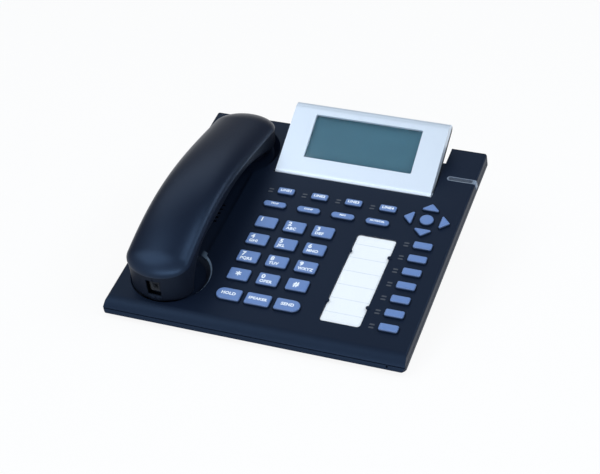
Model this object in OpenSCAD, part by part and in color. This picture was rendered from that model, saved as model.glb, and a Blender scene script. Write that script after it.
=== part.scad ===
// Desk telephone with a sloping deck, a lift-off handset and a tilting display.
// Deck frame: x to the right, y up the slope from the front edge, z out of the deck surface.

/* [Housing] */
// Width of the deck
body_w = 220; // [216:1:230]
// Length of the deck along its slope
body_l = 223.5; // [221:0.5:234]
// Angle of the deck above the desk, in degrees
slope = 14.2; // [13:0.1:15]
// Height of the deck surface above the desk at the front edge
front_rise = 11; // [10.5:0.1:12]
// Wall thickness of the housing
wall = 2.2; // [2:0.1:2.4]
// Depth of the rim from the deck to its underside
rim_h = 8; // [7.8:0.1:8.6]
// Depth of the parting line below the deck
seam_h = 4.8; // [4.5:0.1:5]
// Height of the shadow gap at the parting line
seam_gap = 0.5; // [0.3:0.1:0.7]
// How far the sides lean out from the deck to the foot of the rim
side_draft = 1.2; // [0.6:0.1:1.5]
// Radius of the roll at the front of the deck
front_roll = 12.5; // [11:0.5:14]
// Corner radius of the housing in plan
corner_r = 6; // [4:0.5:8]
// Rounding of the side and back edges of the deck
edge_r = 1.8; // [1:0.1:2]
// Height of the locating lip of the lower shell above the parting line
lip_h = 1.2; // [0.8:0.1:1.6]
// Thickness of the locating lip
lip_t = 1.3; // [1:0.1:1.4]

/* [Underbody] */
// Depth of the underbody below the deck surface
belly_depth = 29; // [28.5:0.1:31]
// Distance of the underbody from the side of the housing at its top
belly_in_top = 4; // [3.5:0.1:5]
// Distance of the underbody from the side of the housing at its bottom
belly_in_bottom = 16; // [14:0.5:18]
// Distance of the underbody from the front edge
belly_front = 8; // [6:0.5:9]
// Distance of the underbody from the back edge
belly_back = 18.3; // [17:0.1:20]
// Corner radius of the underbody
belly_corner = 9; // [6:0.5:12]
// Gap between the flat underside and the desk
desk_gap = 3.2; // [3:0.1:3.4]

/* [Number keys] */
// Column spacing of the number keys
key_pitch_x = 21.85; // [21:0.05:22.4]
// Row spacing of the number keys
key_pitch_y = 18.64; // [18:0.02:19]
// Place of the first column across the deck
keypad_x = -25.8; // [-27:0.1:-25]
// Place of the top row up the deck
keypad_y = 108.2; // [107.5:0.1:109.5]
// Width of a number key
key_w = 16; // [15:0.1:16.8]
// Length of a number key
key_l = 11.4; // [10.6:0.1:12]
// Corner radius of the rectangular keys
key_corner = 1.6; // [1:0.1:2]
// Height of the key tops above the deck
key_rise = 2.3; // [1.8:0.1:2.6]
// Travel of every key
key_travel = 1.5; // [1.2:0.1:1.6]
// How much smaller a key is at its top than at its foot, on each side
key_taper = 0.45; // [0.2:0.05:0.7]
// Clearance around a key in its opening
key_clear = 0.35; // [0.25:0.05:0.45]
// Width of the retaining flange around a key
key_flange = 0.9; // [0.7:0.1:1.1]

/* [Call keys] */
// Width of the hold, speaker and send keys
call_w = 18.6; // [17.5:0.1:18.9]
// Length of the hold, speaker and send keys
call_l = 11; // [10:0.1:11.6]
// Place of the call keys up the deck
call_y = 32; // [31.5:0.1:33]

/* [Line and function keys] */
// Distance of the last line key from the middle of the left arrow key
line_gap = 17; // [16:0.1:18]
// Place of the first line key across the deck
line_x = -23.4; // [-24:0.1:-22.5]
// Place of the line keys up the deck
line_y = 144; // [143.5:0.1:145]
// Width of a line key
line_w = 13; // [12:0.1:14]
// Length of a line key
line_l = 6.4; // [5.6:0.1:7]
// Place of the first function key across the deck
func_x = -26.7; // [-27.5:0.1:-26]
// Place of the function keys up the deck
func_y = 128.3; // [127.6:0.1:129]
// Width of a function key
func_w = 18; // [17:0.1:19]
// Length of a function key, which has fully round ends
func_l = 5.8; // [5.2:0.1:6.4]

/* [Speed keys] */
// Distance of the speed key column from the right side
speed_inset = 18.8; // [18:0.1:20]
// Place of the top speed key up the deck
speed_y = 112; // [111.5:0.1:113]
// Spacing of the speed keys
speed_pitch = 13.78; // [13.4:0.02:14]
// Width of a speed key
speed_w = 14; // [13:0.1:14.8]
// Length of a speed key
speed_l = 6.8; // [6:0.1:7.4]

/* [Direction keys] */
// Distance of the round key from the right side
nav_inset = 23.6; // [23:0.1:25]
// Place of the round key up the deck
nav_y = 139; // [137.5:0.1:140]
// Radius of the round key
nav_r = 5.3; // [4.8:0.1:5.6]
// Distance of each arrow key from the round key
nav_reach = 13.6; // [13:0.1:14]
// Length of the base of an arrow key
arrow_w = 12.4; // [11.5:0.1:13]
// Height of an arrow key from its base to its tip
arrow_h = 7.2; // [6.6:0.1:7.8]
// Corner radius of an arrow key
arrow_r = 1.1; // [0.8:0.1:1.4]

/* [Status lights] */
// Width of a status light
light_w = 3.7; // [3.2:0.1:4]
// Length of a status light
light_l = 1.4; // [1.2:0.1:1.6]
// Spacing between the two lights of a pair
light_gap = 2.9; // [2.6:0.1:3.2]
// Distance of a pair of lights from the middle of its key
light_reach = 12.1; // [11.8:0.1:12.6]
// Width of the message lamp bar
lamp_l = 4.5; // [4:0.1:5]
// Place of the message lamp up the deck
lamp_y = 188.5; // [186:0.5:191]
// Distance of the inner end of the message lamp from the right side
lamp_reach = 22; // [20:0.5:23]

/* [Name card] */
// Width of the name card window
card_w = 29.4; // [28:0.1:30]
// Length of the name card window
card_l = 88.7; // [86:0.1:90]
// Distance of the window from the right side
card_inset = 38.3; // [38:0.1:39.5]
// Distance of the window from the front edge
card_y = 25.8; // [25:0.1:27]
// Thickness of the paper card
card_t = 0.25; // [0.2:0.05:0.35]
// Thickness of the clear cover over the card
cover_t = 1.05; // [0.9:0.05:1.2]

/* [Display] */
// Gap between the display unit and the handset
display_gap = 9.4; // [8:0.1:10.5]
// Length of the display unit from its hinge axis to its top
display_l = 61.5; // [58:0.1:63]
// Thickness of the display unit
display_t = 10.5; // [10:0.1:11]
// Tilt of the display face above the deck, in degrees
display_tilt = 21.5; // [20:0.5:23]
// Distance of the display unit from the right side
display_inset = 28.7; // [28.2:0.1:30]
// Place of the hinge axis up the deck
hinge_y = 170.6; // [170:0.1:171.5]
// Depth of the hinge axis below the deck
hinge_drop = 4.15; // [4:0.05:4.4]
// Radius of the hinge pins
hinge_r = 2.4; // [2.2:0.1:2.6]
// Gap between the display unit and the sides of its pocket
pocket_gap = 1.2; // [1:0.1:1.4]
// Depth of the pocket under the display unit
pocket_depth = 11; // [10.8:0.1:11.2]
// Distance of the pocket floor from the back edge
notch_l = 6.5; // [5:0.5:8]
// Radius of the roll along the top of the bezel
bezel_roll = 7; // [6:0.1:7.5]
// Bezel to the right of its window
screen_right = 19; // [17:0.1:21]
// Length of the window in the bezel
screen_l = 37.6; // [36:0.1:39]
// Distance of the window from the hinge axis
screen_y = 12.8; // [12:0.1:13.5]
// Distance of the window from the left side of the bezel
screen_inset = 18.2; // [17:0.1:19]
// Thickness of the clear window
window_t = 1.2; // [1:0.1:1.4]

/* [Handset] */
// Body behind the far end of the handset
handset_back = 11; // [10:0.1:12]
// Width of the handset over its ends
handset_w = 48.2; // [47.5:0.1:49]
// Width of the handset at its waist
waist_w = 47.5; // [46:0.1:48]
// Length of the rounded part at the mouth end
mouth_round = 15.5; // [14:0.5:17]
// Length of the rounded part at the ear end
ear_round = 20; // [18:0.5:22]
// Distance of the handset from the left side to its middle
handset_inset = 35.9; // [35.2:0.1:36.4]
// Distance of the handset from the front edge
handset_y = 14.4; // [14.2:0.1:15.5]
// Height of the parting line above the deck at the mouth end
seam_near = 21.7; // [20.5:0.1:23]
// Height of the parting line above the deck at the ear end
seam_far = 9.6; // [9:0.1:11]
// Rise of the parting line between the ends
seam_arch = 17; // [16:0.5:18]
// Height of the back of the handset above its parting line
crown_h = 8.4; // [7.5:0.1:9.5]
// Height of the grip's underside above the deck at its middle
grip_h = 24; // [22:0.5:25]
// Wall thickness of the handset shells
shell_t = 2; // [1.8:0.1:2.4]
// How far the outer shell stands proud of the inner one
shell_step = 0.7; // [0.4:0.1:0.9]
// Radius of the round mouth and ear cups
cup_r = 18; // [17:0.5:19]

/* [Cradle] */
// Depth of the round wells under the handset's ends
well_d = 5.5; // [5.2:0.1:5.7]
// Distance of a well's centre from the handset's end
well_inset = 28.4; // [28:0.1:29]
// Gap between the handset's end and the rim of its well
well_gap = 1; // [0.8:0.1:1.4]
// How far a well's side leans in from rim to floor
well_lean = 5; // [4.6:0.1:5.2]
// Width of the trough between the wells
trough_w = 36; // [32:0.5:40]
// Depth of the trough between the wells
trough_d = 3; // [2.5:0.1:3.2]
// Width of the hook plunger
hook_w = 14; // [12:0.5:16]
// Length of the hook plunger
hook_l = 5; // [4:0.1:6]
// Travel of the hook plunger
hook_travel = 4; // [3.5:0.1:4.1]

/* [Stand] */
// Half the width of the desk stand
stand_half = 76; // [70:1:78]
// Place of the front of the stand up the deck
stand_front = 98; // [94:1:104]
// Belly behind the back of the stand
stand_inset = 7.2; // [5:0.1:12]
// Wall thickness of the stand
stand_t = 2.8; // [2.4:0.1:3.2]
// Radius of a rubber foot
foot_r = 6; // [5:0.5:7]

/* [Electronics] */
// Thickness of a circuit board
board_t = 1.6; // [1.2:0.1:1.7]
// Depth of the top of the keypad board below the deck
board_z = 8; // [7.9:0.1:8.4]
// Thickness of the rubber key mat
mat_t = 1; // [0.8:0.1:1.2]
// Radius of the loudspeaker
speaker_r = 16; // [14:0.5:17]
// Width of a network socket block
rj45_w = 16; // [15.5:0.1:16.5]
// Width of a cord socket block
rj9_w = 11; // [10.5:0.1:11.5]
// Width of the power socket block
power_w = 9; // [8.5:0.1:9.5]
// Height of the socket blocks
socket_h = 11.4; // [11:0.1:11.5]
// Shaft radius of a housing screw
screw_r = 1.25; // [1.1:0.05:1.4]

/* [Hidden] */
$fn = 48;
eps = 0.01;
tall = 60;                       // reach of a cut that has to clear everything
half_w = body_w / 2;
fit = 0.1;                       // gap of parts that locate each other
seat = 0.3;                      // gap over parts that stop short of their neighbours
flange_t = 1.1;                  // thickness of a key's flange
flange_z = wall + 0.05;          // depth of the top of a key's flange
lean = (belly_in_bottom - belly_in_top) / (belly_depth - rim_h);

// The deck is placed so that the whole telephone is centred over the origin
front_reach = front_roll - sqrt(pow(front_roll, 2) - pow(front_roll - rim_h, 2));
front_edge = front_reach * cos(slope) + rim_h * sin(slope);
back_edge = body_l * cos(slope) + rim_h * sin(slope);
deck_y = -(front_edge + back_edge) / 2;

// Places across the deck that follow the sides
speed_x = half_w - speed_inset;
nav_x = half_w - nav_inset;
card_x = half_w - card_inset - card_w / 2;
line_pitch = (nav_x - nav_reach - line_gap - line_x) / 3;
handset_x = -half_w + handset_inset;
handset_l = body_l - handset_y - handset_back;
display_w = body_w - handset_inset - handset_w / 2 - display_gap - display_inset;
screen_w = display_w - screen_inset - screen_right;
display_x = half_w - display_inset - display_w / 2;

// Pocket under the display
pocket_w = display_w + 2 * pocket_gap;
pocket_front = hinge_y - display_t / 2 - 0.5;
pocket_end = body_l - notch_l;

// Display, in its own frame
half_t = display_t / 2;
split_n = half_t - bezel_roll;   // the plane between bezel and back cover
back_r = half_t + split_n;       // rounding of the cover's upper edge
screen_x = -display_w / 2 + screen_inset + screen_w / 2;
screen_mid = screen_y + screen_l / 2;
frame_t = 1.5;                   // overlap of the window behind the bezel
window_n = half_t - wall;        // outer face of the window
shelf = 1;                       // thickness of the liquid crystal module's margin

// Wells under the handset, and the card's recess
well_r = well_inset + well_gap;
near_well = handset_y + well_inset;
far_well = handset_y + handset_l - well_inset;
trough_mid = (near_well + far_well) / 2;
trough_l = far_well - near_well;
card_z = card_t + cover_t + fit;
LUGS = [card_y + 19, card_y + card_l - 19];

// Handset stations: an angle round each end, or a share of the straight part
end_a = handset_w / 2;
ANGLES = [8, 18, 30, 44, 60, 76];
SHARES = concat([0, 0.008, 0.02, 0.035, 0.055, 0.08, 0.11, 0.145, 0.18],
    [for (i = [4:17]) i / 17]);
near_cup = handset_y + 24;
far_cup = handset_y + handset_l - 24;
cup_z = seat - well_d;
near_top = 25;                   // height of the mouth cup's wall, inside the handset
far_top = 12;
handset_base = -1;               // the lowest edge of the handset's sides
grip_y0 = handset_y + mouth_round;
grip_rise = 31;                  // length over which the grip's underside climbs behind the mouth
grip_y1 = handset_y + handset_l - 24.5;
grip_fall = 84;                  // length over which it comes down again to the ear
jack_w = 10.6;
jack_h = 13.6;
jack_z = 10.6;
jack_in = 1.5;
ear_r = 14;
mic_r = 5;
magnet_r = 0.55 * speaker_r;

// Boards and sockets
board_x0 = keypad_x - key_w / 2 - 5.2;
board_x1 = half_w - 8.5;
board_y0 = call_y - 10;
board_y1 = line_y + 16;
belly_end = body_l - belly_back;
port_l = 29.5;
port_y0 = belly_end - wall - 0.5 - port_l;
port_half = half_w - belly_in_bottom - wall - 2;
port_z = belly_depth - wall - 0.2 - board_t;
network_x = [8, 26];
network_l = 18;
cord_x = [handset_x - 5.9, handset_x + 12.1];
cord_l = 13;
power_x = 48;
power_l = 14;
SOCKETS = [[network_x[0], rj45_w], [network_x[1], rj45_w], [power_x, power_w],
    [cord_x[0], rj9_w], [cord_x[1], rj9_w]];
header_x = half_w - 43;
dome_r = 2.8;
dome_gap = 0.25;
dome_z = flange_z + flange_t + key_travel + dome_gap;
hook_y = far_cup - 4;
hook_flange = 1.3;
hook_foot = 0.7;
// depth of the plunger's foot when the handset rests on it
hook_z = well_d + wall + 0.2 + hook_travel + hook_flange + hook_foot;

// Screws, stand and feet
boss_z = 7;
boss_r = 3.2;
post_r = 4.4;
head_r = 2.6;
head_h = 1.8;
head_z = boss_z + 3;
screw_l = 6;
SCREWS = [[handset_x + 35, belly_front + 8.4], [half_w - 31, belly_front + 8.4],
    [half_w - 17, pocket_front + 1.15], [handset_x + 27, pocket_front - 12.85]];
stand_back = belly_end - stand_inset;
HOOKS = [for (x = [-1, 1], y = [stand_front + 14, stand_back - 36]) [x * (stand_half - 36), y]];
hook_half = 4;
barb_l = 1.6;
stand_z = 2.5;                   // height of the stand's base over the desk
stand_r = 8;
toe_l = 16;
foot_sink = 0.6;
FRONT_FEET = [for (x = [-1, 1]) [x * (half_w - 48), deck_y + belly_front + 14]];
REAR_FEET = [for (x = [-1, 1]) [x * (stand_half - 11), (stand_back + stand_z) / cos(slope) + deck_y - 12]];

// Keys: name, plan, x, y, width, length
DIGITS = ["1", "2", "3", "4", "5", "6", "7", "8", "9", "star", "0", "hash"];
CALLS = [["key_hold", "left"], ["key_speaker", "rect"], ["key_send", "right"]];
ARROWS = [["key_right", 0], ["key_up", 90], ["key_left", 180], ["key_down", 270]];
KEYS = concat(
    [for (i = [0:11]) [str("key_", DIGITS[i]), "rect", keypad_x + (i % 3) * key_pitch_x,
        keypad_y - floor(i / 3) * key_pitch_y, key_w, key_l]],
    [for (i = [0:2]) [CALLS[i][0], CALLS[i][1], keypad_x + i * key_pitch_x, call_y, call_w, call_l]],
    [for (i = [0:3]) [str("key_line_", i + 1), "rect", line_x + i * line_pitch, line_y, line_w, line_l]],
    [for (i = [0:3]) [str("key_function_", i + 1), "pill", func_x + i * line_pitch, func_y,
        func_w, func_l]],
    [for (i = [0:6]) [str("key_speed_", i + 1), "rect", speed_x, speed_y - i * speed_pitch,
        speed_w, speed_l]],
    [["key_select", "round", nav_x, nav_y, 2 * nav_r, 2 * nav_r]],
    [for (a = ARROWS) [a[0], a[1], nav_x + nav_reach * cos(a[1]), nav_y + nav_reach * sin(a[1]),
        arrow_w, arrow_h]]
);
LIGHTS = concat(
    [for (i = [0:3], s = [-1, 1]) [line_x + i * line_pitch - light_reach, line_y + s * light_gap / 2]],
    [for (i = [0:6], s = [-1, 1]) [speed_x - light_reach, speed_y - i * speed_pitch + s * light_gap / 2]]
);

// ---- Frames ----

// From the deck frame to the desk
module on_deck() translate([0, deck_y, front_rise]) rotate([slope, 0, 0]) children();

// From the desk back to the deck frame, for cuts that are level with the desk
module level() rotate([-slope, 0, 0]) translate([0, -deck_y, -front_rise]) children();

// Everything higher over the desk than z, in the deck frame
module above(z) level() translate([-body_w, -body_l, z]) cube([2 * body_w, 2 * body_l, 3 * tall]);

// From the display's own frame: y up its face from the hinge axis, z out of its face
module on_display() on_deck() translate([display_x, hinge_y, -hinge_drop])
    rotate([display_tilt, 0, 0]) children();

// ---- Plans and profiles ----

module rounded(w, l, r) {
    square([w, l - 2 * r], center = true);
    square([w - 2 * r, l], center = true);
    for (x = [-1, 1], y = [-1, 1]) translate([x * (w / 2 - r), y * (l / 2 - r)]) circle(r);
}

module pill(w, l) {
    square([w - l, l], center = true);
    for (x = [-1, 1]) translate([x * (w - l) / 2, 0]) circle(l / 2);
}

module slab(z0, z1) translate([0, 0, z0]) linear_extrude(z1 - z0) children();

// Extrudes a profile drawn in (y, z) across the telephone
module across(w) rotate([90, 0, 90]) translate([0, 0, -w / 2]) linear_extrude(w) children();

// Extrudes a profile drawn in (x, z) up the deck
module along(y0, y1) translate([0, y1, 0]) rotate([90, 0, 0]) linear_extrude(y1 - y0) children();

module body_plan(t) translate([0, body_l / 2])
    rounded(body_w + 2 * side_draft - 2 * t, body_l - 2 * t, max(corner_r - t, 1));

// Side view of the housing set in by t: rolled front edge, rounded back edge
module body_side(t) {
    r = max(edge_r - t, 0.2);
    end = body_l - t;
    translate([front_roll, -tall]) square([end - r - front_roll, tall - t]);
    translate([front_roll, -tall]) square([end - front_roll, tall - t - r]);
    translate([end - r, -t - r]) circle(r);
    translate([front_roll, -front_roll]) circle(front_roll - t);
}

// Front view of the housing set in by t: leaning sides with rounded upper edges
module body_front(t) {
    r = max(edge_r - t, 0.2);
    w = half_w - t;
    foot = w + side_draft * (tall - t - r) / rim_h;
    polygon([[-foot, -tall], [-w, -t - r], [-w + r, -t], [w - r, -t], [w, -t - r], [foot, -tall]]);
    for (x = [-1, 1]) translate([x * (w - r), -t - r]) circle(r);
}

// The housing's outer form set in by t, between two heights
module body_form(t, z0, z1) intersection() {
    slab(z0, z1) body_plan(t);
    across(body_w + tall) body_side(t);
    along(-tall, body_l + tall) body_front(t);
}

// The pocket under the display, grown by t
module pocket_plan(t, y1) translate([display_x - pocket_w / 2 - t, pocket_front - t])
    square([pocket_w + 2 * t, y1 - pocket_front + t]);

// ---- Keys ----

// An arrow key's rounded triangle pointing along x, grown by g
module arrow_plan(w, h, g) {
    r = arrow_r;
    hull() for (p = [[h / 2 - r, 0], [r - h / 2, w / 2 - r], [r - h / 2, r - w / 2]]) translate(p)
        circle(r + g, $fn = 32);
}

// A call key's plan with a half-round left end
module call_end(w, l, g) {
    r = key_corner + g;
    translate([(l - w) / 2, 0]) circle(l / 2 + g);
    translate([(l - w) / 2, -l / 2 - g]) square([w - l / 2 - key_corner, l + 2 * g]);
    translate([w / 2 - l / 2, key_corner - l / 2]) square([l / 2 + g, l - 2 * key_corner]);
    for (y = [-1, 1]) translate([w / 2 - key_corner, y * (l / 2 - key_corner)]) circle(r);
}

// The plan of a key grown by g
module key_plan(k, g) translate([k[2], k[3]]) {
    w = k[4];
    l = k[5];
    if (k[1] == "rect") rounded(w + 2 * g, l + 2 * g, key_corner + g);
    else if (k[1] == "pill") pill(w + 2 * g, l + 2 * g);
    else if (k[1] == "round") circle(w / 2 + g);
    else if (k[1] == "left") call_end(w, l, g);
    else if (k[1] == "right") mirror([1, 0]) call_end(w, l, g);
    else rotate(k[1]) arrow_plan(w, l, g);
}

// A key: flange under the deck, straight stem through it and a tapered cap
module key(k) color("lightsteelblue") on_deck() {
    slab(-flange_z - flange_t, -flange_z) key_plan(k, key_flange);
    slab(-flange_z, key_rise * 0.4) key_plan(k, 0);
    hull($fn = 24) {
        slab(key_rise * 0.4 - eps, key_rise * 0.4) key_plan(k, 0);
        slab(key_rise - eps, key_rise) key_plan(k, -key_taper);
    }
}

// ---- Housing ----

// A round well's hollow grown by g: a leaning side down to a flat floor
module well(y, g) translate([handset_x, y, 0]) {
    translate([0, 0, -well_d - g]) cylinder(well_d + g, well_r - well_lean + g, well_r + g);
    cylinder(tall, r = well_r + g);
}

module trough(g, z0, z1) slab(z0, z1) translate([handset_x, trough_mid])
    square([trough_w + 2 * g, trough_l], center = true);

module lamp_plan(g) {
    x0 = half_w - lamp_reach + lamp_l / 2;
    translate([x0, lamp_y]) circle(lamp_l / 2 + g);
    translate([x0, lamp_y - lamp_l / 2 - g]) square([lamp_reach + 5, lamp_l + 2 * g]);
}

module light_plan(g) for (p = LIGHTS) translate(p) pill(light_w + 2 * g, light_l + 2 * g);

module top_shell() color("midnightblue") on_deck() {
    difference() {
        union() {
            difference() {
                body_form(0, -seam_h, 1);
                body_form(wall, -seam_h - 1, 0);
            }
            intersection() {
                body_form(0, -2 * seam_h - tall / 8, 1);
                union() {
                    slab(-seam_h, 0) pocket_plan(wall, body_l);
                    slab(-pocket_depth - wall, 0) pocket_plan(wall, pocket_end);
                    for (y = [near_well, far_well]) well(y, wall);
                    trough(wall, -trough_d - wall, 0);
                }
            }
            for (p = SCREWS) translate([p[0], p[1], -boss_z]) cylinder(boss_z - wall / 2, r = boss_r);
        }
        // wells, trough and the slots over the loudspeaker
        for (y = [near_well, far_well]) well(y, 0);
        trough(0, -trough_d, 1);
        for (i = [-2:2]) slab(-tall, 0) translate([handset_x, trough_mid + i * 4.5])
            pill(1.2 * speaker_r, 2);
        // pocket, notch and hinge bores
        slab(-pocket_depth, 1) pocket_plan(0, pocket_end);
        slab(-tall, 1) translate([display_x - pocket_w / 2, pocket_end - eps])
            square([pocket_w, notch_l + 1]);
        translate([display_x, hinge_y, -hinge_drop]) rotate([0, 90, 0])
            cylinder(pocket_w + 4 * wall, r = hinge_r + 0.05, center = true);
        // keys, lights, lamp and hook
        for (k = KEYS) slab(-seam_h, 1) key_plan(k, key_clear);
        slab(-seam_h, 1) light_plan(0.03);
        slab(-seam_h - 1, 1) lamp_plan(0.05);
        slab(-tall, 0) translate([handset_x, hook_y])
            rounded(hook_w + 2 * key_clear, hook_l + 2 * key_clear, 1);
        slab(-card_z, 1) translate([card_x, card_y + card_l / 2]) rounded(card_w, card_l, 2.5);
        for (p = SCREWS) translate([p[0], p[1], -tall]) cylinder(tall - wall - 0.6, r = screw_r - fit);
    }
    for (x = [-1, 1], y = LUGS) translate([card_x + x * card_w / 2, y, -0.05]) cylinder(0.55, r = 1.6);
}

// The underbody set in by t: leaning sides, level in front and along the slope behind
module belly_form(t, top) {
    k = sqrt(1 + lean * lean);
    w = half_w - belly_in_top - t * k;
    z1 = belly_depth - t;
    w_top = w + lean * (top + rim_h);
    w_low = w - lean * (z1 - rim_h);
    intersection() {
        slab(-z1, top) translate([0, (belly_front + belly_end) / 2])
            rounded(2 * w, belly_end - belly_front - 2 * t, max(belly_corner - t, 1));
        along(0, body_l) polygon([[-w_top, top], [w_top, top], [w_low, -z1], [-w_low, -z1]]);
        above(desk_gap + t);
    }
}

module bottom_shell() color("darkslategray") on_deck() difference() {
    union() {
        difference() {
            union() {
                body_form(0, -rim_h, -seam_h - seam_gap);
                body_form(wall + fit, -rim_h, -seam_h + lip_h);
                belly_form(0, -rim_h + eps);
            }
            body_form(wall + fit + lip_t, -rim_h + wall, 1);
            belly_form(wall, -rim_h + wall + eps);
        }
        intersection() {
            belly_form(0, -boss_z);
            for (p = SCREWS) translate([p[0], p[1], -tall]) cylinder(tall - boss_z, r = post_r);
        }
    }
    // room for the pocket, and for the far well where it meets the back edge
    slab(-pocket_depth - wall - fit, 1) pocket_plan(wall + fit, body_l + 1);
    well(far_well, wall + fit);
    well(near_well, wall + fit);
    // screws
    for (p = SCREWS) translate([p[0], p[1], -tall]) {
        cylinder(tall - head_z, r = head_r + seat);
        cylinder(tall, r = screw_r + fit);
    }
    // sockets in the back wall
    for (s = SOCKETS) translate([s[0] - s[1] / 2 - fit, belly_end - 2 * wall, -port_z - fit])
        cube([s[1] + 2 * fit, 3 * wall, socket_h + 2 * fit]);
    // microphone hole, stand slots and front feet
    translate([half_w - 12, -1, -rim_h + 1.9]) rotate([-90, 0, 0]) cylinder(10, r = 0.7);
    for (p = HOOKS) translate([p[0] - hook_half - fit, p[1] - stand_t / 2 - fit, -belly_depth - 1])
        cube([2 * (hook_half + fit), stand_t + 2 * barb_l + 2 * fit, wall + 2]);
    level() for (p = FRONT_FEET) translate(p) cylinder(desk_gap + foot_sink, r = foot_r + fit);
}

module desk_stand() color("darkslategray") on_deck() difference() {
    union() {
        intersection() {
            slab(-tall, -belly_depth - 0.05) translate([0, (stand_front + stand_back) / 2])
                rounded(2 * stand_half, stand_back - stand_front, stand_r);
            above(stand_z);
        }
        for (p = HOOKS) {
            translate([p[0] - hook_half, p[1] - stand_t / 2, -belly_depth - 1])
                cube([2 * hook_half, stand_t, wall + 2.4]);
            translate([p[0] - hook_half, p[1] - stand_t / 2 - barb_l, wall - belly_depth + 0.05])
                cube([2 * hook_half, stand_t + barb_l, 1.35]);
        }
    }
    // hollow for the cords, open at the back
    intersection() {
        slab(-tall, -belly_depth - stand_t) translate([stand_t - stand_half, stand_front + toe_l])
            square([2 * (stand_half - stand_t), stand_back - stand_front]);
        above(stand_z + stand_t);
    }
    level() for (p = REAR_FEET) translate(p) cylinder(stand_z + foot_sink, r = foot_r + fit);
}

module rubber_feet() color("black") {
    for (p = FRONT_FEET) translate(p) cylinder(desk_gap + foot_sink, r = foot_r);
    for (p = REAR_FEET) translate(p) cylinder(stand_z + foot_sink, r = foot_r);
}

module housing_screws() color("silver") on_deck() for (p = SCREWS) translate([p[0], p[1], -head_z])
    difference() {
        union() {
            translate([0, 0, -head_h]) cylinder(head_h, r = head_r);
            cylinder(screw_l, r = screw_r - fit);
        }
        for (a = [0, 90]) rotate(a) cube([2.8, 0.6, 2 * head_h + 2], center = true);
    }

// ---- Display ----

// The display's side view, ahead of its split plane or behind it, set in by t
module display_side(t, ahead) intersection() {
    union() {
        circle(half_t - t);
        translate([0, t - half_t]) square([display_l - max(bezel_roll, back_r), display_t - 2 * t]);
        if (ahead) translate([display_l - bezel_roll, split_n]) circle(bezel_roll - t);
        else {
            translate([0, t - half_t]) square([display_l - back_r, back_r - t]);
            translate([display_l - back_r, split_n]) circle(back_r - t);
        }
    }
    if (ahead) translate([-tall, split_n]) square([3 * tall, tall]);
    else translate([-tall, split_n - tall]) square([3 * tall, tall]);
}

module display_bezel() color("gainsboro") on_display() {
    difference() {
        across(display_w) display_side(0, true);
        across(display_w - 2 * wall) display_side(wall, true);
        slab(0, tall) translate([screen_x, screen_mid]) rounded(screen_w, screen_l, 1);
    }
    for (x = [-1, 1]) translate([x * (display_w / 2 - wall / 2), 0, 0]) rotate([0, x * 90, 0])
        cylinder(wall * 1.5 + pocket_gap - 0.1, r = hinge_r);
}

module display_back_cover() color("darkslategray") on_display() difference() {
    across(display_w) display_side(0, false);
    across(display_w - 2 * wall) display_side(wall, false);
    for (x = [-1, 1]) translate([x * display_w / 2, 0, 0]) rotate([0, 90, 0])
        cylinder(2 * wall + 2 * fit, r = hinge_r + fit, center = true);
}

module lcd_window() color("lightcyan") on_display() slab(window_n - window_t, window_n)
    translate([screen_x, screen_mid]) rounded(screen_w + 2 * frame_t, screen_l + 2 * frame_t, 1);

module lcd_module() color("darkslateblue") on_display() translate([screen_x, screen_mid]) {
    slab(split_n + 0.05, window_n - window_t)
        square([screen_w + 2 * frame_t, screen_l + 2 * frame_t], center = true);
    slab(split_n + 0.05, split_n + 0.05 + shelf)
        square([screen_w + 2 * frame_t + 4, screen_l + 2 * frame_t + 4], center = true);
}

// ---- Handset ----

function share(y) = (y - handset_y) / handset_l;
function half_width(y) = end_a - (handset_w - waist_w) / 4 * (1 - cos(360 * share(y)));
// The parting line's arch leans towards the mouth
function seam(y) = let (u = share(y), v = u + 0.3 * u * (1 - u))
    seam_near + (seam_far - seam_near) * u + seam_arch * sin(180 * v);
function grip(y) = y <= grip_y0 || y >= grip_y1 ? 0
    : y < grip_y0 + grip_rise ? pow(1 - pow((grip_y0 + grip_rise - y) / grip_rise, 2), 0.65)
    : y > grip_y1 - grip_fall ? 1 - pow((y - grip_y1 + grip_fall) / grip_fall, 2) : 1;
function base(y) = handset_base + (grip_h - handset_base) * grip(y);

// Stations of a handset form set in by t: place up the deck and how far its end has opened
function stations(t) = let (y0 = handset_y + mouth_round, y1 = handset_y + handset_l - ear_round) concat(
    [for (a = ANGLES) [y0 - (mouth_round - t) * cos(a), sin(a)]],
    [for (u = SHARES) [y0 + (y1 - y0) * u, 1]],
    [for (i = [len(ANGLES) - 1:-1:0]) [y1 + (ear_round - t) * cos(ANGLES[i]), sin(ANGLES[i])]]
);

// Cross-sections as lists of points, left to right, over the crown or under the grip
function crown_ring(s, t) = let (w = (half_width(s[0]) - t) * s[1], h = (crown_h - t) * s[1])
    [for (i = [0:16]) let (a = 180 - i * 11.25) [handset_x + w * cos(a), s[0], seam(s[0]) + h * sin(a)]];
function grip_ring(s, t) =
    let (w = (half_width(s[0]) - t) * s[1], r = min(4, 0.8 * w), z = base(s[0]) + t - shell_step)
    concat([[handset_x - w, s[0], seam(s[0])]],
        [for (a = [180:18:270]) [handset_x - w + r + r * cos(a), s[0], z + r + r * sin(a)]],
        [for (a = [270:18:360]) [handset_x + w - r + r * cos(a), s[0], z + r + r * sin(a)]],
        [[handset_x + w, s[0], seam(s[0])]]);

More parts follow.
